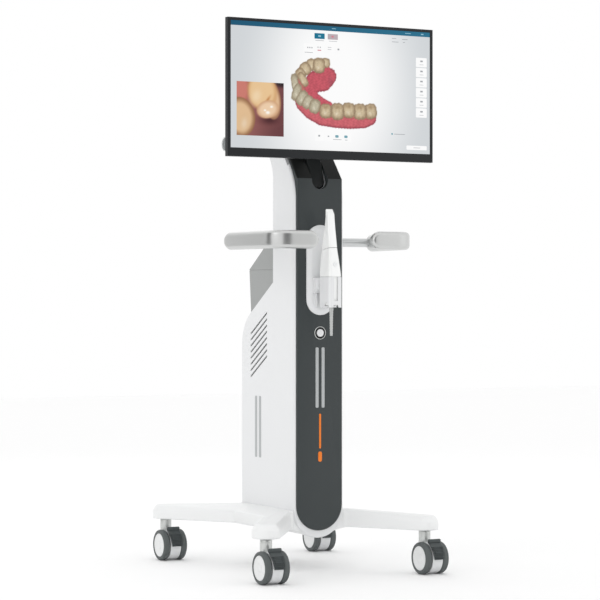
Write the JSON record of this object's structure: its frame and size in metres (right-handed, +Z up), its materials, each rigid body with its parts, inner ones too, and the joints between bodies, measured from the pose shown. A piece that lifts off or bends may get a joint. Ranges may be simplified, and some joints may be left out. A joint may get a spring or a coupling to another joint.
{
  "type": "intraoral scanner cart",
  "caption": "Wheeled dental cart with a tilting monitor, grab handles, a rear bin and an intraoral scanner standing in its cradle.",
  "frame": {"origin": "on the floor, under the middle of the bounding box", "axes": "+Z up, the screen and scanner side faces -Y, +X to the right seen from the front"},
  "size_m": [0.545, 0.643, 1.284],
  "materials": {
    "white_paint": "white painted casting",
    "white_plastic": "satin white",
    "scanner_white": "gloss white",
    "dark_plastic": "gloss dark grey",
    "black_plastic": "matt black",
    "grey_plastic": "matt grey",
    "pale_plastic": "satin pale grey",
    "pedal_plastic": "matt dark grey",
    "silver_plastic": "satin silver grey",
    "grey_trim": "grey",
    "orange_trim": "orange",
    "grey_rubber": "grey rubber",
    "tyre": "dark grey polyurethane tread",
    "steel": "bare steel",
    "steel_box": "painted case",
    "pale_metal": "satin",
    "dark_metal": "dark powder coat",
    "chrome": "polished",
    "display": "glossy display"
  },
  "bodies": {
    "cart": {"base_casting": "white_paint", "ballast_plate": "steel", "castor_stems": "steel", "mast": "steel", "front_frame": "white_plastic", "front_panel": "dark_plastic", "slot_liner": "dark_plastic", "side_shell_left": "white_plastic", "side_shell_right": "white_plastic", "rear_cover": "white_plastic", "vent_screens": "black_plastic", "monitor_arm": "dark_metal", "tilt_pin": "steel", "push_bar": "pale_metal", "push_bar_plugs": "black_plastic", "push_bar_brackets": "white_paint", "handle_bar": "chrome", "grip_left": "silver_plastic", "grip_right": "silver_plastic", "cradle_plate": "white_plastic", "cradle_cup": "white_plastic", "button_ring": "grey_trim", "rear_bin": "grey_plastic", "computer_unit": "black_plastic", "power_supply": "steel_box", "power_inlet": "black_plastic", "grey_inlays": "grey_trim", "orange_inlays": "orange_trim"},
    "monitor": {"monitor_back": "black_plastic", "monitor_frame": "black_plastic", "display_panel": "display", "vesa_plate": "dark_metal", "tilt_bracket": "dark_metal", "monitor_screws": "steel"},
    "scanner": {"scanner_body": "scanner_white", "cable_boot": "grey_rubber"},
    "scanner_tip": {"scanner_tip": "scanner_white"},
    "scanner_button": {"scanner_button": "grey_trim"},
    "power_button": {"power_button": "white_plastic"},
    "bin_lid": {"bin_lid": "grey_plastic"},
    "swivel_front_left": {"fork_front_left": "pale_plastic", "axle_front_left": "steel"},
    "wheels_front_left": {"tyres_front_left": "tyre", "hubs_front_left": "pale_plastic"},
    "pedal_front_left": {"pedal_front_left": "pedal_plastic"},
    "swivel_front_right": {"fork_front_right": "pale_plastic", "axle_front_right": "steel"},
    "wheels_front_right": {"tyres_front_right": "tyre", "hubs_front_right": "pale_plastic"},
    "pedal_front_right": {"pedal_front_right": "pedal_plastic"},
    "swivel_rear_left": {"fork_rear_left": "pale_plastic", "axle_rear_left": "steel"},
    "wheels_rear_left": {"tyres_rear_left": "tyre", "hubs_rear_left": "pale_plastic"},
    "pedal_rear_left": {"pedal_rear_left": "pedal_plastic"},
    "swivel_rear_right": {"fork_rear_right": "pale_plastic", "axle_rear_right": "steel"},
    "wheels_rear_right": {"tyres_rear_right": "tyre", "hubs_rear_right": "pale_plastic"},
    "pedal_rear_right": {"pedal_rear_right": "pedal_plastic"}
  },
  "joints": [
    {"name": "monitor_tilt", "type": "hinge", "parent": "cart", "child": "monitor", "pos_m": [0, -0.122, 1.11], "axis": [-1, 0, 0], "range_deg": [-5, 20]},
    {"name": "scanner_lift", "type": "slide", "parent": "cart", "child": "scanner", "axis": [0, 0, 1], "range_m": [0, 0.08]},
    {"name": "tip_pull", "type": "slide", "parent": "scanner", "child": "scanner_tip", "axis": [0, 0, 1], "range_m": [0, 0.03]},
    {"name": "scanner_button_press", "type": "slide", "parent": "scanner", "child": "scanner_button", "axis": [0, 1, 0], "range_m": [0, 0.0012], "stiffness_N_per_m": 600, "springref_m": -0.002},
    {"name": "power_button_press", "type": "slide", "parent": "cart", "child": "power_button", "axis": [0, 1, 0], "range_m": [0, 0.0015], "stiffness_N_per_m": 600, "springref_m": -0.002},
    {"name": "bin_lid_hinge", "type": "hinge", "parent": "cart", "child": "bin_lid", "pos_m": [0, -0.006, 0.788], "axis": [1, 0, 0], "range_deg": [0, 80]},
    {"name": "swivel_front_left", "type": "hinge", "parent": "cart", "child": "swivel_front_left", "pos_m": [-0.209, -0.254, 0.09], "axis": [0, 0, 1], "continuous": true},
    {"name": "roll_front_left", "type": "hinge", "parent": "swivel_front_left", "child": "wheels_front_left", "pos_m": [-0.209, -0.279, 0.0375], "axis": [1, 0, 0], "continuous": true},
    {"name": "brake_front_left", "type": "hinge", "parent": "swivel_front_left", "child": "pedal_front_left", "pos_m": [-0.209, -0.299, 0.0615], "axis": [1, 0, 0], "range_deg": [0, 6]},
    {"name": "swivel_front_right", "type": "hinge", "parent": "cart", "child": "swivel_front_right", "pos_m": [0.209, -0.254, 0.09], "axis": [0, 0, 1], "continuous": true},
    {"name": "roll_front_right", "type": "hinge", "parent": "swivel_front_right", "child": "wheels_front_right", "pos_m": [0.209, -0.279, 0.0375], "axis": [1, 0, 0], "continuous": true},
    {"name": "brake_front_right", "type": "hinge", "parent": "swivel_front_right", "child": "pedal_front_right", "pos_m": [0.209, -0.299, 0.0615], "axis": [1, 0, 0], "range_deg": [0, 6]},
    {"name": "swivel_rear_left", "type": "hinge", "parent": "cart", "child": "swivel_rear_left", "pos_m": [-0.209, 0.289, 0.09], "axis": [0, 0, 1], "continuous": true},
    {"name": "roll_rear_left", "type": "hinge", "parent": "swivel_rear_left", "child": "wheels_rear_left", "pos_m": [-0.209, 0.264, 0.0375], "axis": [1, 0, 0], "continuous": true},
    {"name": "brake_rear_left", "type": "hinge", "parent": "swivel_rear_left", "child": "pedal_rear_left", "pos_m": [-0.209, 0.244, 0.0615], "axis": [1, 0, 0], "range_deg": [0, 6]},
    {"name": "swivel_rear_right", "type": "hinge", "parent": "cart", "child": "swivel_rear_right", "pos_m": [0.209, 0.289, 0.09], "axis": [0, 0, 1], "continuous": true},
    {"name": "roll_rear_right", "type": "hinge", "parent": "swivel_rear_right", "child": "wheels_rear_right", "pos_m": [0.209, 0.264, 0.0375], "axis": [1, 0, 0], "continuous": true},
    {"name": "brake_rear_right", "type": "hinge", "parent": "swivel_rear_right", "child": "pedal_rear_right", "pos_m": [0.209, 0.244, 0.0615], "axis": [1, 0, 0], "range_deg": [0, 6]}
  ]
}
